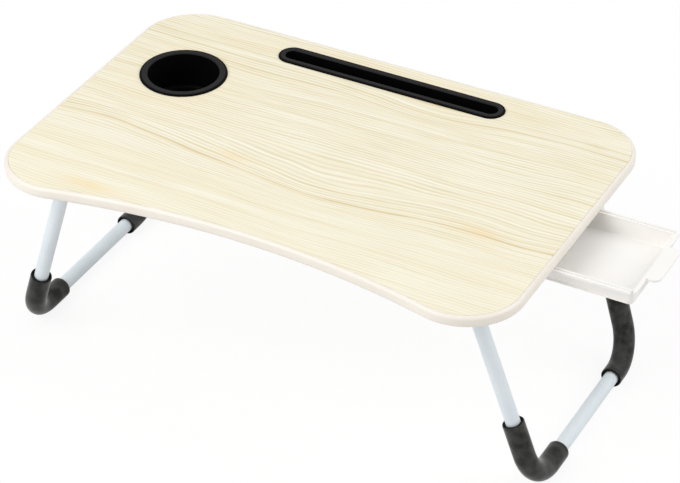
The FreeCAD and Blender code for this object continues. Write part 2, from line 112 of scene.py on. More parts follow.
def place_in_mm(tree, size=(1, 1, 1)):
    """The shaded point in the table's own frame, counted in steps of size millimetres."""
    place = add_node(tree, "TexCoord", output="Object")
    return add_node(tree, "Mapping", {"Scale": [1000 / step for step in size]}, {"Vector": place})


def grained_material(name, tone_size, tones, grain_size, roughness, relief, tone_span=(0.3, 0.7), **sockets):
    """Its colour drifts over tone_size, and a grain sets the shine and the relief. Sizes in mm."""
    material, tree, shader = new_material(name, **sockets)
    tone = add_node(tree, "TexNoise", {"Scale": 1.0, "Detail": 3.0},
                    {"Vector": place_in_mm(tree, tone_size)})
    colour = add_node(tree, "ValToRGB", {"stops": list(zip(tone_span, tones))}, {"Fac": tone})
    grain = add_node(tree, "TexNoise", {"Scale": 1.0, "Detail": 2.0},
                     {"Vector": place_in_mm(tree, grain_size)})
    shine = add_node(tree, "MapRange", {**NOISE_SPAN, "To Min": roughness[0], "To Max": roughness[1]},
                     {"Value": grain})
    bump = add_node(tree, "Bump", {"Distance": mm(relief)}, {"Height": grain})
    dress(tree, shader, colour, shine, bump)
    return material


# %% [markdown]
# ## The camera
# A long lens stands well back, as in a catalogue picture, so the far edge of the table is only
# a little shorter than the near one. Its place is in the table's own frame. The azimuth turns
# it to the drawer's side, and the elevation lifts it to look down on the top.

# %% Camera
IMAGE_WIDTH = 680
FOCAL_PIXELS = 2656.8
SENSOR_WIDTH = 36.0           # mm
CAMERA_PLACE = (1.120698, -2.084482, 1.544547)   # metres
AZIMUTH, ELEVATION, ROLL = 27.767, 35.051, 0.211

lens = bpy.data.cameras.new("catalogue_camera")
lens.sensor_width = SENSOR_WIDTH
lens.lens = FOCAL_PIXELS / IMAGE_WIDTH * SENSOR_WIDTH
camera = bpy.data.objects.new("catalogue_camera", lens)
bpy.context.scene.collection.objects.link(camera)
bpy.context.scene.camera = camera

turn = Matrix.Rotation(math.radians(AZIMUTH), 4, "Z")
tilt = Matrix.Rotation(math.radians(90 - ELEVATION), 4, "X")
roll = Matrix.Rotation(math.radians(ROLL), 4, "Z")
camera.matrix_world = Matrix.Translation(CAMERA_PLACE) @ turn @ tilt @ roll
bpy.context.scene.view_settings.view_transform = "Standard"
print("Lens of %.0f mm, %.2f m from the table" % (lens.lens, Vector(CAMERA_PLACE).length))

# %% [markdown]
# ## Floor and light
# The object stands on a plain white sweep. A camera ray sees the floor mostly as plain white,
# with a little of its real shading mixed in, so that a faint shadow stays under the feet.
# Light comes from all round, and a large soft lamp at the front left is the main one. A second
# lamp at the back right lifts the drawer's side, so only the corner between them goes grey.

# %% Floor, sky and lamps
FLOOR_Z = -0.2634             # metres
FLOOR_REACH = 4.0             # from its middle to each side
PLAIN_SHARE = 0.85            # of what the camera sees of the floor, the part that is plain white
PLAIN_GLOW = 1.04
SKY_LEVEL = 0.53


def white_floor():
    # Background paper is cotton white and quite matt, with broad soft waves from the roll.
    material = grained_material(
        "white_paper_sweep", tone_size=(300, 300, 300), tones=("eceae8", "f0efed"), tone_span=(0.0, 1.0),
        grain_size=(40, 40, 40), roughness=(0.85, 0.95), relief=0.1, Specular_IOR_Level=0.0)
    tree = material.node_tree
    shader = tree.nodes["Principled BSDF"]
    seen = add_node(tree, "LightPath", output="Is Camera Ray")
    share = add_node(tree, "Math", {"operation": "MULTIPLY", 1: PLAIN_SHARE}, {0: seen})
    glow = add_node(tree, "Emission", {"Color": linear("ffffff"), "Strength": PLAIN_GLOW})
    mixed = add_node(tree, "MixShader", {}, {0: share, 1: shader.outputs[0], 2: glow})
    tree.links.new(mixed, tree.nodes["Material Output"].inputs["Surface"])
    return material


def add_floor(material):
    """A level square under the feet, which belongs to the stage and not to the object."""
    mesh = bpy.data.meshes.new("floor")
    corners = [(x * FLOOR_REACH, y * FLOOR_REACH, 0) for x, y in ((-1, -1), (1, -1), (1, 1), (-1, 1))]
    mesh.from_pydata(corners, [], [(0, 1, 2, 3)])
    mesh.materials.append(material)
    floor = bpy.data.objects.new("floor", mesh)
    floor.location.z = FLOOR_Z
    bpy.context.scene.collection.objects.link(floor)


def add_sky(strength):
    """White where it is looked at or mirrored, and a soft dome of light for everything else."""
    world = bpy.data.worlds.new("studio")
    bpy.context.scene.world = world
    world.use_nodes = True
    tree = world.node_tree
    dome = tree.nodes["Background"]
    dome.inputs["Color"].default_value = linear("fbfcff")
    dome.inputs["Strength"].default_value = strength
    white = add_node(tree, "Background", {"Color": linear("ffffff"), "Strength": 1.0})
    seen = add_node(tree, "LightPath", output="Is Camera Ray")
    for other in ("Is Glossy Ray", "Is Transmission Ray"):
        seen = add_node(tree, "Math", {"operation": "MAXIMUM"},
                        {0: seen, 1: add_node(tree, "LightPath", output=other)})
    mixed = add_node(tree, "MixShader", {}, {0: seen, 1: dome.outputs[0], 2: white})
    tree.links.new(mixed, tree.nodes["World Output"].inputs["Surface"])


def add_lamp(name, direction, distance, size, level):
    """A square lamp. Level is how bright it makes a white surface that faces it."""
    light = bpy.data.lights.new(name, "AREA")
    light.size = size
    light.energy = level * math.pi ** 2 * distance ** 2
    lamp = bpy.data.objects.new(name, light)
    aim = Vector(direction).normalized()
    lamp.location = aim * distance
    lamp.rotation_euler = aim.to_track_quat("Z", "Y").to_euler()
    bpy.context.scene.collection.objects.link(lamp)
    print("%s: %.0f W" % (name, light.energy))


add_floor(white_floor())
add_sky(SKY_LEVEL)
add_lamp("front_left_softbox", (-0.56, -0.80, 0.84), distance=3.0, size=2.2, level=0.56)
add_lamp("right_softbox", (0.74, 0.30, 0.60), distance=3.0, size=2.0, level=0.36)

# %% [markdown]
# ## Skinning rows of points
# Nearly every new piece here is swept: a section is carried round an outline or along an axis.
# Blender could do it with a curve and a bevel object, but a mesh built row by row keeps the
# point count and the sharp edges under control. One function joins rows of points, and another
# turns the finished mesh into a piece that rides on its body.

# %% Rows to mesh, and mesh to piece
def skin(mesh, rows, close_rows=True, close_columns=True):
    """Join each row of points to the next with four-sided faces."""
    grid = [[mesh.verts.new(point) for point in row] for row in rows]
    row_count, column_count = len(grid), len(grid[0])
    for i in range(row_count if close_rows else row_count - 1):
        following = grid[(i + 1) % row_count]
        for j in range(column_count if close_columns else column_count - 1):
            k = (j + 1) % column_count
            mesh.faces.new((grid[i][j], grid[i][k], following[k], following[j]))
    return grid


def close_ends(mesh, grid):
    """Put a face on the first and on the last row of a sweep."""
    mesh.faces.new(grid[0][::-1])
    mesh.faces.new(grid[-1])


def finish_mesh(mesh, name, crease_degrees=32):
    """Turn a bmesh into mesh data, smooth except where two faces meet at a sharp angle."""
    bmesh.ops.recalc_face_normals(mesh, faces=mesh.faces)
    data = bpy.data.meshes.new(name)
    mesh.to_mesh(data)
    mesh.free()
    data.shade_smooth()
    data.set_sharp_from_angle(angle=math.radians(crease_degrees))
    return data


def add_piece(data, name, material, body, stands_for):
    """Place mesh data in the scene as a piece that rides on a body and hides its CAD nodes."""
    data.materials.append(material)
    piece = bpy.data.objects.new(name, data)
    bpy.context.scene.collection.objects.link(piece)
    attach(piece, body)
    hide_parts(*stands_for)
    print("%s: %d faces, for %s" % (name, len(data.polygons), ", ".join(stands_for)))


def refinish(data, material, chosen):
    """Give a second material to the faces whose number passes a test."""
    data.materials.append(material)
    for face in data.polygons:
        face.material_index = int(chosen(face.index))


def arc(centre, radius, start, stop, steps):
    """Points and outward directions (x, y, nx, ny) along an arc, angles in degrees."""
    places = []
    for i in range(steps + 1):
        angle = math.radians(start + (stop - start) * i / steps)
        nx, ny = math.cos(angle), math.sin(angle)
        places.append((centre[0] + radius * nx, centre[1] + radius * ny, nx, ny))
    return places


def circle(centre, radius, steps):
    """Points and outward directions all the way round."""
    return arc(centre, radius, 0, 360 - 360 / steps, steps - 1)


def points_of(places):
    """The same places without their outward directions."""
    return [(x, y) for x, y, nx, ny in places]


def rounded(centre, radius, start, stop, steps):
    """Points along an arc, for rounding a section or a corner."""
    return points_of(arc(centre, radius, start, stop, steps))


def box_points(x_range, y_range):
    """The corners of a rectangle, anticlockwise."""
    (x0, x1), (y0, y1) = x_range, sorted(y_range)
    return [(x0, y0), (x1, y0), (x1, y1), (x0, y1)]


def carried(places, section):
    """A section of (out, height) points, set at every place of an outline: one row for each."""
    return [[(mm(x + nx * out), mm(y + ny * out), mm(z)) for out, z in section]
            for x, y, nx, ny in places]


# %% [markdown]
# ## Table outline
# The top is a rectangle with four round corners and a waist drawn into the front edge for the
# user's stomach. The waist is one long arc that runs smoothly into the two front corners. Where
# those circles touch follows from the corner radius and the depth of the waist.

# %% Outline of the table top
HALF_LENGTH, HALF_DEPTH = 300.0, 200.0
CORNER_R = 65.0
WAIST = 28.0

corner_x, corner_y = HALF_LENGTH - CORNER_R, HALF_DEPTH - CORNER_R
centre_gap = (corner_x ** 2 + WAIST ** 2) / (2 * WAIST)
waist_r = centre_gap - CORNER_R
waist_centre = (0.0, -HALF_DEPTH + WAIST - waist_r)
swing = math.degrees(math.asin(corner_x / centre_gap))


def waist_places(steps):
    """The waist curves the other way, so its outward direction points to its own centre."""
    back = arc(waist_centre, waist_r, 90 + swing, 90 - swing, steps)
    return [(x, y, -nx, -ny) for x, y, nx, ny in back][1:-1]


table_outline = (arc((corner_x, -corner_y), CORNER_R, -90 - swing, 0, 36)
                 + arc((corner_x, corner_y), CORNER_R, 0, 90, 32)
                 + arc((-corner_x, corner_y), CORNER_R, 90, 180, 32)
                 + arc((-corner_x, -corner_y), CORNER_R, 180, 270 + swing, 36)
                 + waist_places(72))
print("Waist radius %.0f mm, outline of %d points" % (waist_r, len(table_outline)))

# %% [markdown]
# ## Wood-grain melamine
# The top is not wood. It is fibreboard pressed with a printed paper soaked in melamine resin, in
# a bleached pine pattern: cream wood with thin straw-coloured lines about 4 mm apart, and one
# strong ring line that sags where a branch once grew. An image would be the usual way, but here
# the print is computed. The Y coordinate is bent by a few soft humps, so that straight stripes
# drawn on it follow the sag. Then come the stripes, a few strong lines, and the stains.

# %% Bending the grain
LINE_SPACING = 4.4            # mm from one thin grain line to the next
SWAY, SWAY_SIZE = 8.0, (190, 75, 75)   # the whole grain sways by this, over this distance
# Humps that push the grain along Y: centre, reach along X and Y, and how far, all in mm.
GRAIN_BENDS = [((25, -66), (135, 42), 25.0), ((-228, -50), (60, 30), -5.0), ((262, -45), (60, 40), 5.0),
               ((75, 125), (70, 22), 13.0), ((-140, 92), (110, 42), 9.0), ((275, 60), (90, 80), -5.0)]


def hump(tree, place, centre, reach):
    """1 at the centre, falling smoothly to 0 a little past the reach."""
    rate = (1 / reach[0], 1 / reach[1], 0.0)
    shift = (-centre[0] / reach[0], -centre[1] / reach[1], 0.0)
    local = add_node(tree, "VectorMath", {"operation": "MULTIPLY_ADD", 1: rate, 2: shift}, {0: place})
    square = add_node(tree, "VectorMath", {"operation": "DOT_PRODUCT"}, {0: local, 1: local}, "Value")
    minus = add_node(tree, "Math", {"operation": "MULTIPLY", 1: -1.0}, {0: square})
    return add_node(tree, "Math", {"operation": "EXPONENT"}, {0: minus})


def bent_grain(tree, place):
    """The point moved along Y so that the grain lines become straight."""
    slow = add_node(tree, "TexNoise", {"Scale": 1.0, "Detail": 2.0},
                    {"Vector": place_in_mm(tree, SWAY_SIZE)})
    shift = add_node(tree, "MapRange", {"To Min": -SWAY, "To Max": SWAY}, {"Value": slow})
    for centre, reach, push in GRAIN_BENDS:
        shift = add_node(tree, "Math", {"operation": "MULTIPLY_ADD", 1: push},
                         {0: hump(tree, place, centre, reach), 2: shift})
    sideways = add_node(tree, "CombineXYZ", {}, {"Y": shift})
    return add_node(tree, "VectorMath", {"operation": "ADD"}, {0: place, 1: sideways})


print("Grain lines every %.1f mm, bent by %d humps" % (LINE_SPACING, len(GRAIN_BENDS)))

# %% [markdown]
# ## Stripes, ring lines and stains
# The stripes are a wave across the bent grain, with some noise that is long in X so that no two
# lines are alike. They fade towards the front, where the print is calmer. Each strong line and
# each stain is a hump of colour laid over them: endless and thin for a line, rounder for a
# stain. The colours lie close together, as in bleached wood.

# %% Bleached pine print
WAVE_PERIOD = 0.314           # a wave texture at scale 1 repeats after this
STRIPE_STRETCH = 30           # the wave's own unevenness is this much longer in X than in Y
STREAK_SIZE, BAND_SIZE = (110, 2.6, 60), (300, 17, 60)
STRIPE_SHARE = 0.21           # the rest of the line pattern is streaks
CALM_RANGE, CALM_SHARE = (-115, -70), 0.6   # on the bent Y: the lines are weaker before the first
MIDDLE_TONE = 0.47            # what the lines fade to
TINT_SHARE = 0.75
STAIN_FAINTEST = 0.6          # a streaky stain is nowhere fainter than this share of its strength
RING_COLOUR, RING_FAINTEST, RING_FADE_SIZE = "d9c28c", 0.35, (90, 30, 30)
ENDLESS = 1e6                 # a ring line's reach along X
# Ring lines: place on the bent Y, half width and strength.
RING_LINES = [(-52.5, 1.9, 1.0), (-43.0, 1.3, 0.55), (-34.0, 1.2, 0.45), (-24.0, 1.0, 0.3),
              (134.0, 1.5, 0.8), (120.0, 1.2, 0.55), (147.0, 1.6, 0.50), (12.0, 1.1, 0.40),
              (62.0, 1.1, 0.40), (88.0, 1.2, 0.45), (38.0, 1.0, 0.35), (-112.0, 1.0, 0.3),
              (-136.0, 1.2, 0.3)]
# Stains: centre, reach, strength, colour.
STAINS = [((-78, -50), (26, 6), 0.7, "f7dfae"), ((212, -56), (24, 9), 0.7, "f7dfae"),
          ((-185, -168), (30, 7), 0.8, "f7dfae"), ((0, 165), (175, 24), 0.45, "f8e2b4"),
          ((-205, 62), (70, 66), 0.30, "f6dfb2"), ((-215, -74), (95, 9), 0.75, "f6f0df"),
          ((230, 140), (80, 14), 0.6, "f8f2e0"), ((256, 148), (13, 4), 0.55, "e2cf9f")]


def stretched(tree, grain, size):
    """The bent grain, counted in steps of size millimetres."""
    return add_node(tree, "Mapping", {"Scale": [1 / step for step in size]}, {"Vector": grain})


def grain_lines(tree, grain, streaks):
    """The line pattern, from 0 for pale wood to 1 for a dark line."""
    stripes = add_node(tree, "TexWave", {"bands_direction": "Y", "Scale": WAVE_PERIOD / LINE_SPACING,
                                         "Detail": 3.0, "Distortion": 9.0, "Detail Scale": 0.10},
                       {"Vector": stretched(tree, grain, (STRIPE_STRETCH, 1, STRIPE_STRETCH))}, "Fac")
    height = add_node(tree, "SeparateXYZ", {}, {"Vector": grain}, "Y")
    calm = add_node(tree, "MapRange", {"From Min": CALM_RANGE[0], "From Max": CALM_RANGE[1],
                                       "To Min": CALM_SHARE, "To Max": 1.0}, {"Value": height})
    lines = add_node(tree, "Mix", {0: STRIPE_SHARE}, {2: streaks, 3: stripes})
    return add_node(tree, "Mix", {2: MIDDLE_TONE}, {0: calm, 3: lines})


def stained(tree, place, streaks, colour):
    """The colour with every stain laid over it, a little streaky."""
    for centre, reach, strength, hex_code in STAINS:
        patch = add_node(tree, "Math", {"operation": "MULTIPLY", 1: strength},
                         {0: hump(tree, place, centre, reach)})
        streaky = add_node(tree, "MapRange", {**NOISE_SPAN, "To Min": STAIN_FAINTEST, "To Max": 1.0},
                           {"Value": streaks})
        patch = add_node(tree, "Math", {"operation": "MULTIPLY"}, {0: patch, 1: streaky})
        colour = add_node(tree, "Mix", {"data_type": "RGBA", 7: linear(hex_code)}, {0: patch, 6: colour}, 2)
    return colour


def ringed(tree, grain, colour):
    """The colour with the strong ring lines laid over it, fading in and out along their length."""
    along = add_node(tree, "TexNoise", {"Scale": 1.0}, {"Vector": place_in_mm(tree, RING_FADE_SIZE)})
    for centre_y, half_width, strength in RING_LINES:
        fading = add_node(tree, "MapRange", {**NOISE_SPAN, "To Min": RING_FAINTEST * strength,
                                             "To Max": strength}, {"Value": along})
        line = add_node(tree, "Math", {"operation": "MULTIPLY"},
                        {0: hump(tree, grain, (0, centre_y), (ENDLESS, half_width)), 1: fading})
        colour = add_node(tree, "Mix", {"data_type": "RGBA", 7: linear(RING_COLOUR)},
                          {0: line, 6: colour}, 2)
    return colour


def bleached_pine_print():
    # Melamine resin has an IOR near 1.5, and is pressed on a satin plate.
    material, tree, shader = new_material("melamine_bleached_pine", IOR=1.5, Specular_IOR_Level=0.35)
    place = place_in_mm(tree)
    grain = bent_grain(tree, place)
    streaks = add_node(tree, "TexNoise", {"Scale": 1.0, "Detail": 4.0, "Roughness": 0.6},
                       {"Vector": stretched(tree, grain, STREAK_SIZE)})
    bands = add_node(tree, "TexNoise", {"Scale": 1.0, "Detail": 2.0},
                     {"Vector": stretched(tree, grain, BAND_SIZE)})
    colour = add_node(tree, "ValToRGB", {"stops": [(0.30, "fdfaec"), (0.48, "f7f2de"), (0.70, "e5dbbc")]},
                      {"Fac": grain_lines(tree, grain, streaks)})
    tint = add_node(tree, "ValToRGB", {"stops": [(0.3, "fffffc"), (0.7, "faf5e8")]}, {"Fac": bands})
    colour = add_node(tree, "Mix", {"data_type": "RGBA", "blend_type": "MULTIPLY", 0: TINT_SHARE},
                      {6: colour, 7: tint}, 2)
    colour = ringed(tree, grain, stained(tree, place, streaks, colour))
    shine = add_node(tree, "MapRange", {**NOISE_SPAN, "To Min": 0.46, "To Max": 0.56}, {"Value": streaks})
    bump = add_node(tree, "Bump", {"Distance": mm(0.02)}, {"Height": streaks})
    dress(tree, shader, colour, shine, bump)
    return material


print("%d ring lines and %d stains in the print" % (len(RING_LINES), len(STAINS)))

# %% [markdown]
# ## The decorative sheet
# The sheet is one flat plate with the plan outline of the table and two holes, for the cup
# holder and the tablet slot. Its edge is cut back a little where it meets the plastic edge
# band, so the joint reads as a fine line. The side walls are made first, and then the top and
# the bottom are filled between them.

# %% Top sheet
BAND_WIDTH = 4.5
SHEET_THICK = 0.6
CUP_CENTRE = (-210.5, 69.0)
CUP_FLANGE_R = 49.0
SLOT_CENTRE = (1.0, 160.0)
SLOT_HALF_RUN = 122.25        # from the slot's centre to the centre of each round end
SLOT_FLANGE_R = 16.55
BAND_GAP, FLANGE_GAP = 0.12, 0.25   # round the sheet's own edge, and round the two inserts


def stadium(centre, half_run, radius, steps=24):
    """Outline of a slot with round ends, along X."""
    x, y = centre
    return (arc((x + half_run, y), radius, -90, 90, steps)
            + arc((x - half_run, y), radius, 90, 270, steps))


def plate(loops, heights):
    """A plate between two heights, from one outer loop and its holes."""
    mesh = bmesh.new()
    edges = []
    for loop in loops:
        rows = [[(mm(x), mm(y), mm(z)) for x, y, nx, ny in loop] for z in heights]
        grid = skin(mesh, rows, close_rows=False)
        edges.append([[mesh.edges.get((row[i - 1], row[i])) for i in range(len(row))] for row in grid])
    for level in (0, 1):
        outline = [edge for loop in edges for edge in loop[level]]
        bmesh.ops.triangle_fill(mesh, edges=outline, use_beauty=True)
    return mesh


cut_back = BAND_WIDTH + BAND_GAP
sheet_edge = [(x - nx * cut_back, y - ny * cut_back, nx, ny) for x, y, nx, ny in table_outline]
sheet = plate([sheet_edge, circle(CUP_CENTRE, CUP_FLANGE_R + FLANGE_GAP, 144),
               stadium(SLOT_CENTRE, SLOT_HALF_RUN, SLOT_FLANGE_R + FLANGE_GAP)], (0.0, -SHEET_THICK))
add_piece(finish_mesh(sheet, "top_sheet"), "top_sheet", bleached_pine_print(), "table",
          ["top_laminate"])

# %% [markdown]
# ## White edge band
# The board's raw edge is covered by a T-shaped strip of soft PVC, knocked into a groove. Its
# outer edges are well rounded, which gives the pale lip all round the top. The section is drawn
# once, as distances out from the outline and heights, and swept round it.

# %% Edge band
BAND_ROUND = 4.0              # the two outer edges
JOINT_R, JOINT_DEPTH = 0.45, 1.2   # the small edge at the sheet, and how far down its shading reaches
BOARD_BOTTOM = -13.0
TONGUE = (-7.9, -5.3)         # heights of the tongue's two faces
TONGUE_DEPTH = 6.0

inner = -BAND_WIDTH
band_section = ([(inner, -JOINT_DEPTH)] + rounded((inner + JOINT_R, -JOINT_R), JOINT_R, 180, 90, 4)
                + rounded((-BAND_ROUND, -BAND_ROUND), BAND_ROUND, 90, 0, 8)
                + rounded((-BAND_ROUND, BOARD_BOTTOM + BAND_ROUND), BAND_ROUND, 0, -90, 8)
                + [(inner, BOARD_BOTTOM), (inner, TONGUE[0]), (inner - TONGUE_DEPTH, TONGUE[0]),
                   (inner - TONGUE_DEPTH, TONGUE[1]), (inner, TONGUE[1])])


def extruded_pvc():
    # Extruded PVC, IOR 1.53: a low, even sheen, with faint unevenness from the die.
    return grained_material(
        "extruded_pvc_white", tone_size=(60, 60, 8), tones=("f1e9dd", "f5efe4"), grain_size=(3, 3, 1.2),
        roughness=(0.30, 0.40), relief=0.02, IOR=1.53, Specular_IOR_Level=0.45)


band = bmesh.new()
skin(band, carried(table_outline, band_section))
add_piece(finish_mesh(band, "edge_strip"), "edge_strip", extruded_pvc(), "table",
          ["edge_band"])

# %% [markdown]
# ## Foam sleeves
# Each lower bend of a leg wears a foam rubber sleeve, which is the foot. It has soft rolled
# ends and a small relief round the tube. The rolled ends and mouths are painted near black, a
# painted shade that makes each mouth show as a dark ring. A sleeve is a turned form whose axis is
# bent: a line, a bend and a line. So the section is given as distances along the axis and radii,
# and each ring of points is set square to the axis at its place. The faces come in rows, so their
# numbers tell which ones wear the painted shade.

# %% Foam sleeves
FOOT_X, FOOT_Z = 312.0, -251.4
FOOT_Y = {"front": -112.5, "rear": 142.5}
HINGE_X, HINGE_Z = 241.4536, -35.0
LEG_SPREAD = 0.07
BEND_R = 40.0
SLEEVE_R, SLEEVE_BORE = 12.0, 8.02
SLEEVE_ROLL, MOUTH_R, MOUTH_DEPTH = 2.0, 9.5, 3.0
MOUTH_SHADE_R = 11.3                  # the painted shade of the rolled ends and mouths reaches out to here
SLEEVE_STEPS = 48             # points round the sleeve
SLEEVE_ROWS = 44              # and along it
SLEEVE_UP = {"left": 33.0, "right": 44.0}     # past the bend, up the upright
SLEEVE_ALONG = {"front": 26.0, "rear": 15.0}  # past the bend, along the foot bar
LEG_SIDES = {"left": -1, "right": 1}
LEG_ENDS = {"front": -1, "rear": 1}
HINGE_Y = {end: FOOT_Y[end] + outward * LEG_SPREAD * (HINGE_Z - FOOT_Z) for end, outward in LEG_ENDS.items()}


def leg_lines(side, end):
    """Where an upright would meet the foot bar, and the directions up it and along the bar."""
    foot = Vector((side * FOOT_X, FOOT_Y[end], FOOT_Z))
    hinge = Vector((side * HINGE_X, HINGE_Y[end], HINGE_Z))
    return foot, (hinge - foot).normalized(), Vector((0, -LEG_ENDS[end], 0))


def bent_axis(foot, up, along, sleeve_up, sleeve_along):
    """A function from a distance to a point and a direction: down the upright and round the bend."""
    half = up.angle(along) / 2
    setback = BEND_R / math.tan(half)
    centre = foot + (up + along).normalized() * BEND_R / math.sin(half)
    first, last = foot + up * setback - centre, foot + along * setback - centre
    square = first.cross(last).normalized()
    bend_length = BEND_R * (math.pi - 2 * half)

    def at(distance):
        travel = distance - sleeve_up
        if travel <= 0:
            return foot + up * (setback - travel), -up
        if travel >= bend_length:
            return foot + along * (setback + travel - bend_length), along
        spin = Matrix.Rotation(travel / BEND_R, 3, square)
        return centre + spin @ first, spin @ -up

    return at, sleeve_up + bend_length + sleeve_along, square


def sleeve_section(length):
    """Closed section of (distance, radius): rolled ends, mouths, and the bore on the tube."""
    roll = rounded((SLEEVE_ROLL, SLEEVE_R - SLEEVE_ROLL), SLEEVE_ROLL, 180, 90, 8)
    mouth = [(0.0, MOUTH_R), (MOUTH_DEPTH, MOUTH_R), (MOUTH_DEPTH, SLEEVE_BORE)]
    outside, inside = [], []
    for i in range(1, SLEEVE_ROWS):
        share = i / SLEEVE_ROWS
        outside.append((SLEEVE_ROLL + (length - 2 * SLEEVE_ROLL) * share, SLEEVE_R))
        inside.append((MOUTH_DEPTH + (length - 2 * MOUTH_DEPTH) * share, SLEEVE_BORE))
    far_roll, far_mouth = [[(length - distance, radius) for distance, radius in end] for end in (roll, mouth)]
    return roll + outside + far_roll[::-1] + far_mouth + inside[::-1] + mouth[::-1]


def bent_turning(at, square, section):
    """Set a ring of points square to the axis for every point of the section."""
    mesh = bmesh.new()
    rows = []
    for distance, radius in section:
        point, direction = at(distance)
        across = square.cross(direction)
        ring = []
        for i in range(SLEEVE_STEPS):
            angle = 2 * math.pi * i / SLEEVE_STEPS
            ring.append((point + (square * math.cos(angle) + across * math.sin(angle)) * radius) * mm(1))
        rows.append(ring)
    skin(mesh, rows)
    return mesh


def foamed_rubber():
    # Closed-cell nitrile foam, IOR 1.52: dull and dark, with a moulded skin that is finely velvety.
    # Its cells, near 0.3 mm, are drawn at 1.3.
    return grained_material(
        "foamed_nitrile_rubber", tone_size=(12, 12, 12), tones=("121211", "3a3a37"), tone_span=(0.35, 0.65),
        grain_size=(1.3, 1.3, 1.3), roughness=(0.55, 0.7), relief=0.1, IOR=1.52, Specular_IOR_Level=0.2,
        Sheen_Weight=0.75, Sheen_Roughness=0.35)


def mouth_shade_foam():
    # The same foam painted near black on the rolled ends and mouths: painted shade, a dark ring round the
    # tube.
    return grained_material(
        "foamed_nitrile_rubber_mouth_shade", tone_size=(15, 15, 15), tones=("0c0c0b", "141413"),
        grain_size=(1.3, 1.3, 1.3), roughness=(0.8, 0.9), relief=0.1, IOR=1.52, Specular_IOR_Level=0.1)


def at_mouth_shade_end(section):
    """A test of a face's number: is it on a rolled end or a mouth, inside the ring of painted shade?"""
    radii = [radius for distance, radius in section]
    in_shade_ring = [SLEEVE_BORE < min(pair) and max(pair) < MOUTH_SHADE_R for pair in zip(radii, radii[1:] + radii[:1])]
    return lambda number: in_shade_ring[number // SLEEVE_STEPS]


# The second foam is painted shade, for the rolled ends and mouths.
foam, mouth_shade = foamed_rubber(), mouth_shade_foam()
for side_name, side in LEG_SIDES.items():
    for end in LEG_ENDS:
        axis, length, square = bent_axis(*leg_lines(side, end), SLEEVE_UP[side_name], SLEEVE_ALONG[end])
        section = sleeve_section(length)
        name = side_name + "_" + end
        sleeve = finish_mesh(bent_turning(axis, square, section), "sleeve_" + name)
        add_piece(sleeve, "sleeve_" + name, foam, side_name + "_leg", ["foot_sleeve_" + name])
        refinish(sleeve, mouth_shade, at_mouth_shade_end(section))

# %% [markdown]
# ## Black cup holder and tablet slot
# Both inserts are dropped into cut-outs and hold the sheet's edge under a flange. They are
# injection moulded in black polypropylene, with a fine spark-eroded grain on top of the flange
# alone. Inside each well and round the flange's outer edge the black is painted darker: painted
# shade in the hollow, and a painted dark outline round the flange. The cup is a turned form and the
# slot is the same idea carried round a long oval, so one function serves both: it sweeps an open
# section, from the floor inside to the floor outside, and closes the two floors.

# %% Cup holder and tablet slot
CUP_R, CUP_DEPTH, CUP_FLANGE_TOP = 40.0, 42.0, 2.0
SLOT_HALF_WIDTH, SLOT_DEPTH, SLOT_FLANGE_TOP = 8.75, 14.0, 1.8
INSERT_WALL = 1.8
PAINTED_DARK_EDGE = 2.3             # the flange's outer edge has no grain, and is painted darker as a painted dark outline
WEDGE_TOP, WEDGE_FOOT, WEDGE_OUT, WEDGE_ROOT = -13.3, -18.0, 1.8, 0.5
WEDGE_SPAN, WEDGE_STARTS = 20, (35, 125, 215, 305)   # degrees round the cup


def well(places, section):
    """Sweep an open section of (out, height) and close its inner and outer floors."""
    mesh = bmesh.new()
    grid = skin(mesh, carried(places, section), close_columns=False)
    mesh.faces.new([row[0] for row in grid])
    mesh.faces.new([row[-1] for row in reversed(grid)])
    return mesh


def insert_section(depth, flange_top, flange, lip, floor_round, under_round):
    """Inside floor, wall, rounded flange, and back down the outside, as (out, height) points.

    One more point on each wall keeps its shading flat between the roundings.
    """
    wall, steps = INSERT_WALL, 7
    return (rounded((-floor_round, -depth + floor_round), floor_round, -90, 0, steps)
            + [(0.0, -depth * 0.5)]
            + rounded((lip, flange_top - lip), lip, 180, 90, steps)
            + [(flange - PAINTED_DARK_EDGE, flange_top)]
            + rounded((flange - lip, flange_top - lip), lip, 90, 0, steps)
            + [(flange, -SHEET_THICK), (wall, -SHEET_THICK), (wall, -depth * 0.6)]
            + rounded((wall - under_round, -depth - wall + under_round), under_round, 0, -90, steps))


def snap_wedge(mesh, start):
    """One of the wedges under the board that keep the cup holder from lifting out."""
    places = arc(CUP_CENTRE, CUP_R + INSERT_WALL, start, start + WEDGE_SPAN, 6)
    section = [(-WEDGE_ROOT, WEDGE_TOP), (WEDGE_OUT, WEDGE_TOP), (0, WEDGE_FOOT), (-WEDGE_ROOT, WEDGE_FOOT)]
    close_ends(mesh, skin(mesh, carried(places, section), close_rows=False))


def on_flange_face(places, section, flange_top, flange, lip):
    """A test of a face's number: is it on top of the flange, inside its painted dark outer edge?"""
    middles = [((a[0] + b[0]) / 2, (a[1] + b[1]) / 2) for a, b in zip(section, section[1:])]
    on_top = [out < flange - PAINTED_DARK_EDGE and z > flange_top - 0.5 * lip for out, z in middles]
    return lambda number: number < len(places) * len(on_top) and on_top[number % len(on_top)]


def black_polypropylene(ending, tones, specular):
    # Polypropylene, IOR 1.49. Inside the well and round the flange's edge the plastic is painted
    # deeper black and shines less: painted shade in the hollow and a painted dark outline round the
    # flange. A spark-eroded grain makes the flange's top greyer. That grain, near 0.1 mm, is drawn at
    # 0.8 mm.
    return grained_material(
        "moulded_polypropylene_black" + ending, tone_size=(28, 28, 28), tones=tones,
        grain_size=(0.8, 0.8, 0.8), roughness=(0.50, 0.62), relief=0.03, IOR=1.49,
        Specular_IOR_Level=specular)
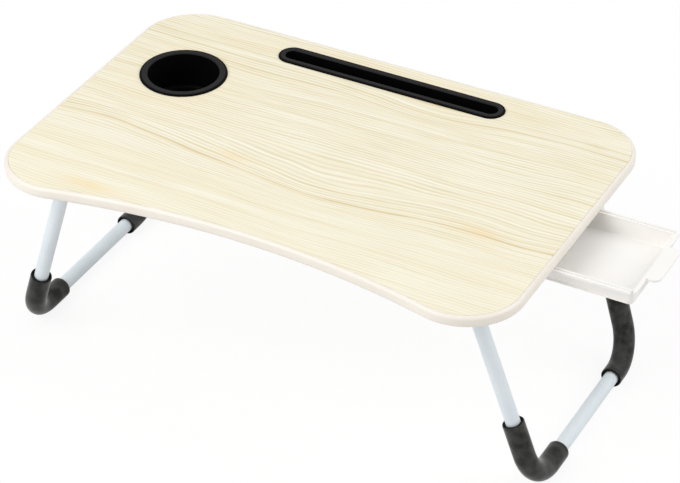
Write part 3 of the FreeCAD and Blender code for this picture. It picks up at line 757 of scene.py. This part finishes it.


# Painted shade: the deeper black for the inside of each well and the flange's outer edge.
painted_shade_black = black_polypropylene("", ("050505", "080808"), 0.04)
grained_black = black_polypropylene("_grained", ("0a0a0a", "101010"), 0.17)
cup_places = circle(CUP_CENTRE, CUP_R, 96)
flange, lip = CUP_FLANGE_R - CUP_R, 1.4
section = insert_section(CUP_DEPTH, CUP_FLANGE_TOP, flange, lip, floor_round=5.0, under_round=4.0)
cup = well(cup_places, section)
for start in WEDGE_STARTS:
    snap_wedge(cup, start)
cup = finish_mesh(cup, "cup_well")
add_piece(cup, "cup_well", painted_shade_black, "table", ["cup_holder"])
refinish(cup, grained_black, on_flange_face(cup_places, section, CUP_FLANGE_TOP, flange, lip))

slot_places = stadium(SLOT_CENTRE, SLOT_HALF_RUN, SLOT_HALF_WIDTH)
flange, lip = SLOT_FLANGE_R - SLOT_HALF_WIDTH, 1.2
section = insert_section(SLOT_DEPTH, SLOT_FLANGE_TOP, flange, lip, floor_round=0.5, under_round=1.5)
slot = finish_mesh(well(slot_places, section), "slot_trough")
add_piece(slot, "slot_trough", painted_shade_black, "table", ["tablet_slot"])
refinish(slot, grained_black, on_flange_face(slot_places, section, SLOT_FLANGE_TOP, flange, lip))

# %% [markdown]
# ## The drawer
# The drawer is one thin polystyrene moulding. Side rims run in the rails, a front lip hides the
# wall, and a round-cornered tab is the finger pull. It is easiest to think of as a few plain
# forms joined into one and then softened. So each form is a prism or a stack of rounded
# rectangles, Boolean modifiers join and cut them, and a Bevel rounds every edge that is left.

# %% Drawer forms
DRAWER_REAR, DRAWER_FRONT = 151.5, 387.0
DRAWER_TOP, DRAWER_BOTTOM = -14.0, -35.0
DRAWER_HALF, DRAWER_DRAFT, DRAWER_WALL = 57.0, 3.0, 2.0
RIM_WIDTH, RIM_THICK, LIP = 5.0, 2.6, 2.0
TAB_HALF, TAB_REACH, TAB_R = 31.5, 13.2, 9.0
WALL_FRONT = DRAWER_FRONT - LIP
LIP_HALF, LIP_R, LIP_LAP, TAB_LAP, RIM_LAP = 58.0, 1.2, 1.5, 10.0, 1.0   # laps reach into the wall
NOTCH_R, NOTCH_SHIFT = 1.2, (0.4, 0.2)
LEAST_R, RIM_R_GAIN = 0.8, 1.0                # of the wall's corners, at the foot and at the rim
BEAD_R, BEAD_BACK, BEAD_LIFT = 1.5, 3.0, 0.3  # the bead, from the tab's tip and underside
RIM_STOP = 3.5                                # the rims end this far behind the front wall
LEDGE_IN, LEDGE_STOP, LEDGE_RISE, LEDGE_THICK = (5.0, 1.7), 8.0, 2.0, 1.6
GROOVE_OUT, GROOVE_DEPTH = (0.6, 2.2), 1.7    # along the top of each rim
PAST = 1.0                                    # a cutting form reaches this far past the surface


def rounded_rectangle(x_range, y_range, radius, steps=8):
    """Points of a rectangle with round corners, anticlockwise."""
    (x0, x1), (y0, y1) = x_range, y_range
    corners = [(x1 - radius, y0 + radius, -90), (x1 - radius, y1 - radius, 0),
               (x0 + radius, y1 - radius, 90), (x0 + radius, y0 + radius, 180)]
    points = []
    for x, y, start in corners:
        points += rounded((x, y), radius, start, start + 90, steps)
    return points


def form(rows):
    """A closed helper object through rows of points in millimetres, for the Booleans."""
    mesh = bmesh.new()
    scaled = [[(mm(x), mm(y), mm(z)) for x, y, z in row] for row in rows]
    close_ends(mesh, skin(mesh, scaled, close_rows=False))
    bmesh.ops.recalc_face_normals(mesh, faces=mesh.faces)
    data = bpy.data.meshes.new("helper")
    mesh.to_mesh(data)
    mesh.free()
    helper = bpy.data.objects.new("helper", data)
    bpy.context.scene.collection.objects.link(helper)
    return helper


def stack(rings):
    """A form through (points, height) rings, from the lowest to the highest."""
    return form([[(x, y, z) for x, y in points] for points, z in rings])


def prism(points, low, high):
    """A form with upright walls."""
    return stack([(points, low), (points, high)])


def rod(centre, radius, half_length):
    """A round rod along Y, at (x, z): the grip bead under the finger tab."""
    ring = points_of(circle(centre, radius, 24))
    return form([[(x, y, z) for x, z in ring] for y in (-half_length, half_length)])


def wall_ring(inset, z, radius):
    """The drawer's wall line at one height: it leans inwards on its way down."""
    lean = DRAWER_DRAFT * (DRAWER_TOP - z) / (DRAWER_TOP - DRAWER_BOTTOM) + inset
    return rounded_rectangle((DRAWER_REAR + lean, WALL_FRONT - lean),
                             (-DRAWER_HALF + lean, DRAWER_HALF - lean), radius), z


def shell_form(inset, floor, foot_round, corner_r, top):
    """Outside or hollow of the tray, with a rounded bottom edge."""
    rings = [wall_ring(inset + tuck, z, max(corner_r - tuck, LEAST_R))
             for tuck, z in rounded((foot_round, floor + foot_round), foot_round, -90, -180, 6)]
    return stack(rings + [wall_ring(inset, top, corner_r + RIM_R_GAIN)])


def combine(base, tools, operation):
    """Apply one Boolean after another to the base and delete the tools."""
    for tool in tools:
        modifier = base.modifiers.new(operation.lower(), "BOOLEAN")
        modifier.operation = operation
        modifier.solver = "EXACT"
        modifier.object = tool
    bpy.context.view_layer.update()
    result = bpy.data.meshes.new_from_object(base.evaluated_get(bpy.context.evaluated_depsgraph_get()))
    base.modifiers.clear()
    base.data = result
    for tool in tools:
        bpy.data.objects.remove(tool)


rim_low = DRAWER_TOP - RIM_THICK
tab_tip = DRAWER_FRONT + TAB_REACH
tray = shell_form(inset=0.0, floor=DRAWER_BOTTOM, foot_round=2.0, corner_r=5.0, top=DRAWER_TOP)
front_lip = rounded_rectangle((WALL_FRONT - LIP_LAP, DRAWER_FRONT), (-LIP_HALF, LIP_HALF), LIP_R)
finger_tab = rounded_rectangle((WALL_FRONT - TAB_LAP, tab_tip), (-TAB_HALF, TAB_HALF), TAB_R)
joined = [prism(front_lip, rim_low, DRAWER_TOP), prism(finger_tab, rim_low, DRAWER_TOP),
          rod((tab_tip - BEAD_BACK, rim_low + BEAD_LIFT), BEAD_R, TAB_HALF - TAB_R)]
cuts = [shell_form(inset=DRAWER_WALL, floor=DRAWER_BOTTOM + DRAWER_WALL, foot_round=1.5, corner_r=3.0,
                   top=DRAWER_TOP + PAST)]
for side in (-1, 1):
    rim = box_points((DRAWER_REAR, WALL_FRONT - RIM_STOP),
                     (side * (DRAWER_HALF - RIM_LAP), side * (DRAWER_HALF + RIM_WIDTH)))
    joined.append(prism(rim, rim_low, DRAWER_TOP))
    ledge = box_points((DRAWER_REAR + LEDGE_STOP, WALL_FRONT - LEDGE_STOP),
                       [side * (DRAWER_HALF - inward) for inward in LEDGE_IN])
    ledge_low = DRAWER_BOTTOM + LEDGE_RISE
    joined.append(prism(ledge, ledge_low, ledge_low + LEDGE_THICK))
    groove = box_points((DRAWER_REAR - PAST, WALL_FRONT), [side * (DRAWER_HALF + out) for out in GROOVE_OUT])
    cuts.append(prism(groove, DRAWER_TOP - GROOVE_DEPTH, DRAWER_TOP + PAST))
    notch_centre = (DRAWER_FRONT + NOTCH_SHIFT[0], side * (TAB_HALF + NOTCH_SHIFT[1]))
    cuts.append(prism(points_of(circle(notch_centre, NOTCH_R, 24)), rim_low - PAST, DRAWER_TOP + PAST))
combine(tray, joined, "UNION")
combine(tray, cuts, "DIFFERENCE")
print("Drawer after the Booleans:", len(tray.data.polygons), "faces")

# %% [markdown]
# ## Softening the moulding
# A real moulding has no knife edges, and the small highlights along them are what makes it look
# like plastic. The Bevel works only on edges sharper than a limit, so the rounded corners stay
# as they are. Its result is applied, to leave a plain mesh. The finish is a smooth, slightly
# warm white with a soft shine, and its tone hardly drifts.

# %% Drawer piece
EASED_EDGE = 0.35             # mm
JOIN_WITHIN = 0.01            # corners closer than this are one


def add_bevel(piece, sharp_degrees):
    """A Bevel modifier that works on the edges sharper than an angle."""
    bevel = piece.modifiers.new("eased_edges", "BEVEL")
    bevel.width = mm(EASED_EDGE)
    bevel.segments = 2
    bevel.limit_method = "ANGLE"
    bevel.angle_limit = math.radians(sharp_degrees)
    return bevel


def softened(helper, name):
    """Bevel the sharp edges of a helper form and return the mesh, smooth apart from real edges."""
    add_bevel(helper, 30)
    bpy.context.view_layer.update()
    data = bpy.data.meshes.new_from_object(helper.evaluated_get(bpy.context.evaluated_depsgraph_get()))
    bpy.data.objects.remove(helper)
    mesh = bmesh.new()
    mesh.from_mesh(data)
    bmesh.ops.dissolve_degenerate(mesh, dist=mm(JOIN_WITHIN), edges=mesh.edges)
    bmesh.ops.triangulate(mesh, faces=[face for face in mesh.faces if len(face.verts) > 4])
    return finish_mesh(mesh, name, 42)


def moulded_polystyrene():
    # Polystyrene, IOR 1.59, from a satin mould: filled with white pigment, so it is opaque.
    return grained_material(
        "moulded_polystyrene_white", tone_size=(90, 60, 30), tones=("f9f6f1", "fbf9f5"),
        grain_size=(1.5, 1.5, 1.5), roughness=(0.42, 0.48), relief=0.004, IOR=1.59, Specular_IOR_Level=0.4)


add_piece(softened(tray, "drawer_moulding"), "drawer_moulding", moulded_polystyrene(), "drawer",
          ["drawer_tray"])

# %% [markdown]
# ## Screws
# Sixteen countersunk screws hold the hinge brackets and six pan-head screws hold the rails.
# Each is a turned shank and head with a cross recess for the driver. One screw of each kind is
# made, its recess is cut, and copies of its mesh are set at every place, all in one object.

# %% Screws
SCREW_R, SCREW_HEAD_R, SCREW_BITE = 1.75, 3.8, 8.5
POINT_LENGTH, POINT_R = 2.0, 0.3
CONE_HEIGHT, DOME_R, DOME_SIDE = 2.2, 1.2, 0.8
CROSS_REACH, CROSS_HALF, CROSS_DEPTH = 1.9, 0.42, 1.5
CROSS_START, CROSS_TAPER = 0.2, (0.35, 0.6)   # the blades start outside the head and narrow inwards
BRACKET_BASE, BRACKET_HOLES_X, BRACKET_HOLES_Y = 4.0, (-17.0, 19.0), (-20.5, 20.5)
RAIL_THICK, RAIL_GAP, RAIL_FOOT, RAIL_HOLES_X = 2.0, 1.0, 7.5, (86.0, 179.0, 272.0)


def turned(section, steps=28):
    """A form turned about Z from (radius, height) points, with a flat face at each end."""
    return stack([(points_of(circle((0, 0), radius, steps)), z) for radius, z in section])


def cross_recess(low, high):
    """Two tapered blades that cut the driver's cross into a head that faces down."""
    blades = []
    for half_x, half_y in ((CROSS_REACH, CROSS_HALF), (CROSS_HALF, CROSS_REACH)):
        wide = box_points((-half_x, half_x), (-half_y, half_y))
        narrow = [(x * CROSS_TAPER[0], y * CROSS_TAPER[1]) for x, y in wide]
        blades.append(stack([(wide, low), (narrow, high)]))
    return blades


def one_screw(section, head_bottom):
    """A turned screw with its recess cut."""
    screw = turned(section)
    combine(screw, cross_recess(head_bottom - CROSS_START, head_bottom + CROSS_DEPTH), "DIFFERENCE")
    return screw


def screw_group(screw, places, name, stands_for):
    """Copies of one screw, at (x, y, z) places in millimetres, as one piece."""
    mesh = bmesh.new()
    for x, y, z in places:
        first = len(mesh.verts)
        mesh.from_mesh(screw.data)
        mesh.verts.ensure_lookup_table()
        shift = Vector((mm(x), mm(y), mm(z)))
        for vert in mesh.verts[first:]:
            vert.co += shift
    bpy.data.objects.remove(screw)
    add_piece(finish_mesh(mesh, name, 28), name, zinc, "table", [stands_for])


def zinc_plated_steel():
    # Zinc plate is a bright, slightly blue metal whose shine is broken by a fine grain.
    return grained_material(
        "zinc_plated_steel", tone_size=(1.6, 1.6, 1.6), tones=("b4b9be", "ccd0d3"),
        grain_size=(1.2, 1.2, 1.2), roughness=(0.24, 0.4), relief=0.01, Metallic=1.0)


zinc = zinc_plated_steel()
flat_top = BRACKET_BASE + SCREW_BITE
flat_head = one_screw([(SCREW_HEAD_R, 0), (SCREW_R, CONE_HEIGHT), (SCREW_R, flat_top - POINT_LENGTH),
                       (POINT_R, flat_top)], 0.0)
bracket_places = []
for side in LEG_SIDES.values():
    for end in LEG_ENDS:
        for x in BRACKET_HOLES_X:
            bracket_places += [(side * (HINGE_X + x), HINGE_Y[end] + y, BOARD_BOTTOM - BRACKET_BASE)
                               for y in BRACKET_HOLES_Y]
screw_group(flat_head, bracket_places, "bracket_screw_set", "bracket_screws")

pan_top = RAIL_THICK + SCREW_BITE
dome = rounded((SCREW_HEAD_R - DOME_R, -DOME_SIDE), DOME_R, -90, 0, 4)
pan_head = one_screw(dome + [(SCREW_HEAD_R, 0), (SCREW_R, 0), (SCREW_R, pan_top - POINT_LENGTH),
                             (POINT_R, pan_top)], -DOME_SIDE - DOME_R)
rail_y = DRAWER_HALF + RIM_WIDTH + RAIL_GAP + RAIL_THICK + RAIL_FOOT
rail_places = [(x, side * rail_y, BOARD_BOTTOM - RAIL_THICK) for side in (-1, 1) for x in RAIL_HOLES_X]
screw_group(pan_head, rail_places, "rail_screw_set", "rail_screws")

# %% [markdown]
# ## Finishes for the CAD parts that stay
# The tubes, hinges, rails, pins, board and backing film already have their true shape, so they
# keep their CAD meshes and only get a finish. The leg tubes are powder coated: an electrostatic
# powder that melts into a skin with a faint orange peel. Hinges and rails are white nylon and
# polypropylene.

# %% Finishes of the CAD parts
def powder_coated_steel():
    # Polyester powder, IOR 1.5, melted into a skin. Its orange peel is 2 to 3 mm across.
    return grained_material(
        "powder_coated_steel_pale_blue", tone_size=(40, 40, 40), tones=("e1eaef", "e7eff3"),
        grain_size=(2.4, 2.4, 2.4), roughness=(0.38, 0.48), relief=0.03, IOR=1.5, Specular_IOR_Level=0.4)


def moulded_nylon():
    # Glass-filled nylon, IOR 1.53: a matt skin with faint fibre streaks.
    return grained_material(
        "moulded_nylon_white", tone_size=(9, 3, 3), tones=("dcdee0", "e6e7e8"), grain_size=(0.9, 0.9, 0.9),
        roughness=(0.45, 0.58), relief=0.02, IOR=1.53, Specular_IOR_Level=0.4)


def extruded_polypropylene():
    # Polypropylene, IOR 1.49. The rails are drawn through a die, which leaves lines along X.
    return grained_material(
        "extruded_polypropylene_white", tone_size=(160, 4, 4), tones=("e9e8e5", "f1f0ed"),
        grain_size=(160, 0.9, 0.9), roughness=(0.30, 0.42), relief=0.02, IOR=1.49, Specular_IOR_Level=0.4)


def pressed_fibreboard():
    # MDF: fine wood fibres felted and pressed. It scatters light and hardly shines.
    return grained_material(
        "pressed_fibreboard", tone_size=(2, 2, 0.6), tones=("9a7850", "bd9b6d"), grain_size=(1.4, 1.4, 0.5),
        roughness=(0.8, 0.95), relief=0.08, IOR=1.5, Specular_IOR_Level=0.2)


def pressed_backing_paper():
    # Melamine backing paper, IOR 1.5: matt, with the faint felt marks of the press.
    return grained_material(
        "pressed_melamine_paper_white", tone_size=(50, 50, 50), tones=("ebeae6", "f2f1ee"),
        grain_size=(5, 2.2, 5), roughness=(0.55, 0.68), relief=0.02, IOR=1.5, Specular_IOR_Level=0.3)


powder_coat, nylon, rail_plastic = powder_coated_steel(), moulded_nylon(), extruded_polypropylene()
finishes = {"board_core": pressed_fibreboard(), "underside_film": pressed_backing_paper(),
            "drawer_rail_front": rail_plastic, "drawer_rail_rear": rail_plastic,
            "leg_tube_left": powder_coat, "leg_tube_right": powder_coat}
for side_name in LEG_SIDES:
    for end in LEG_ENDS:
        corner = side_name + "_" + end
        finishes["hinge_bracket_" + corner] = nylon
        finishes["hinge_knuckle_" + corner] = nylon
        finishes["hinge_pin_" + corner] = zinc
for name, material in finishes.items():
    nodes[name].data.materials.clear()
    nodes[name].data.materials.append(material)
print("Finished", len(finishes), "CAD parts")

# %% [markdown]
# ## Easing the edges of the hinges
# A mould has slightly rounded edges, so each edge of a real bracket catches a thin line of
# light. The CAD meshes stay as they are. A Weld modifier joins the corners that neighbouring
# CAD faces share, and the same Bevel as on the drawer then rounds the sharp edges between them.

# %% Eased edges
def ease_edges(piece):
    """Join the corners of a CAD mesh and round its sharp edges."""
    weld = piece.modifiers.new("joined_corners", "WELD")
    weld.merge_threshold = mm(JOIN_WITHIN)
    add_bevel(piece, 35).harden_normals = True


eased = [name for name, material in finishes.items() if material == nylon]
for name in eased:
    ease_edges(nodes[name])
print("Edges eased by %.2f mm on %d parts" % (EASED_EDGE, len(eased)))
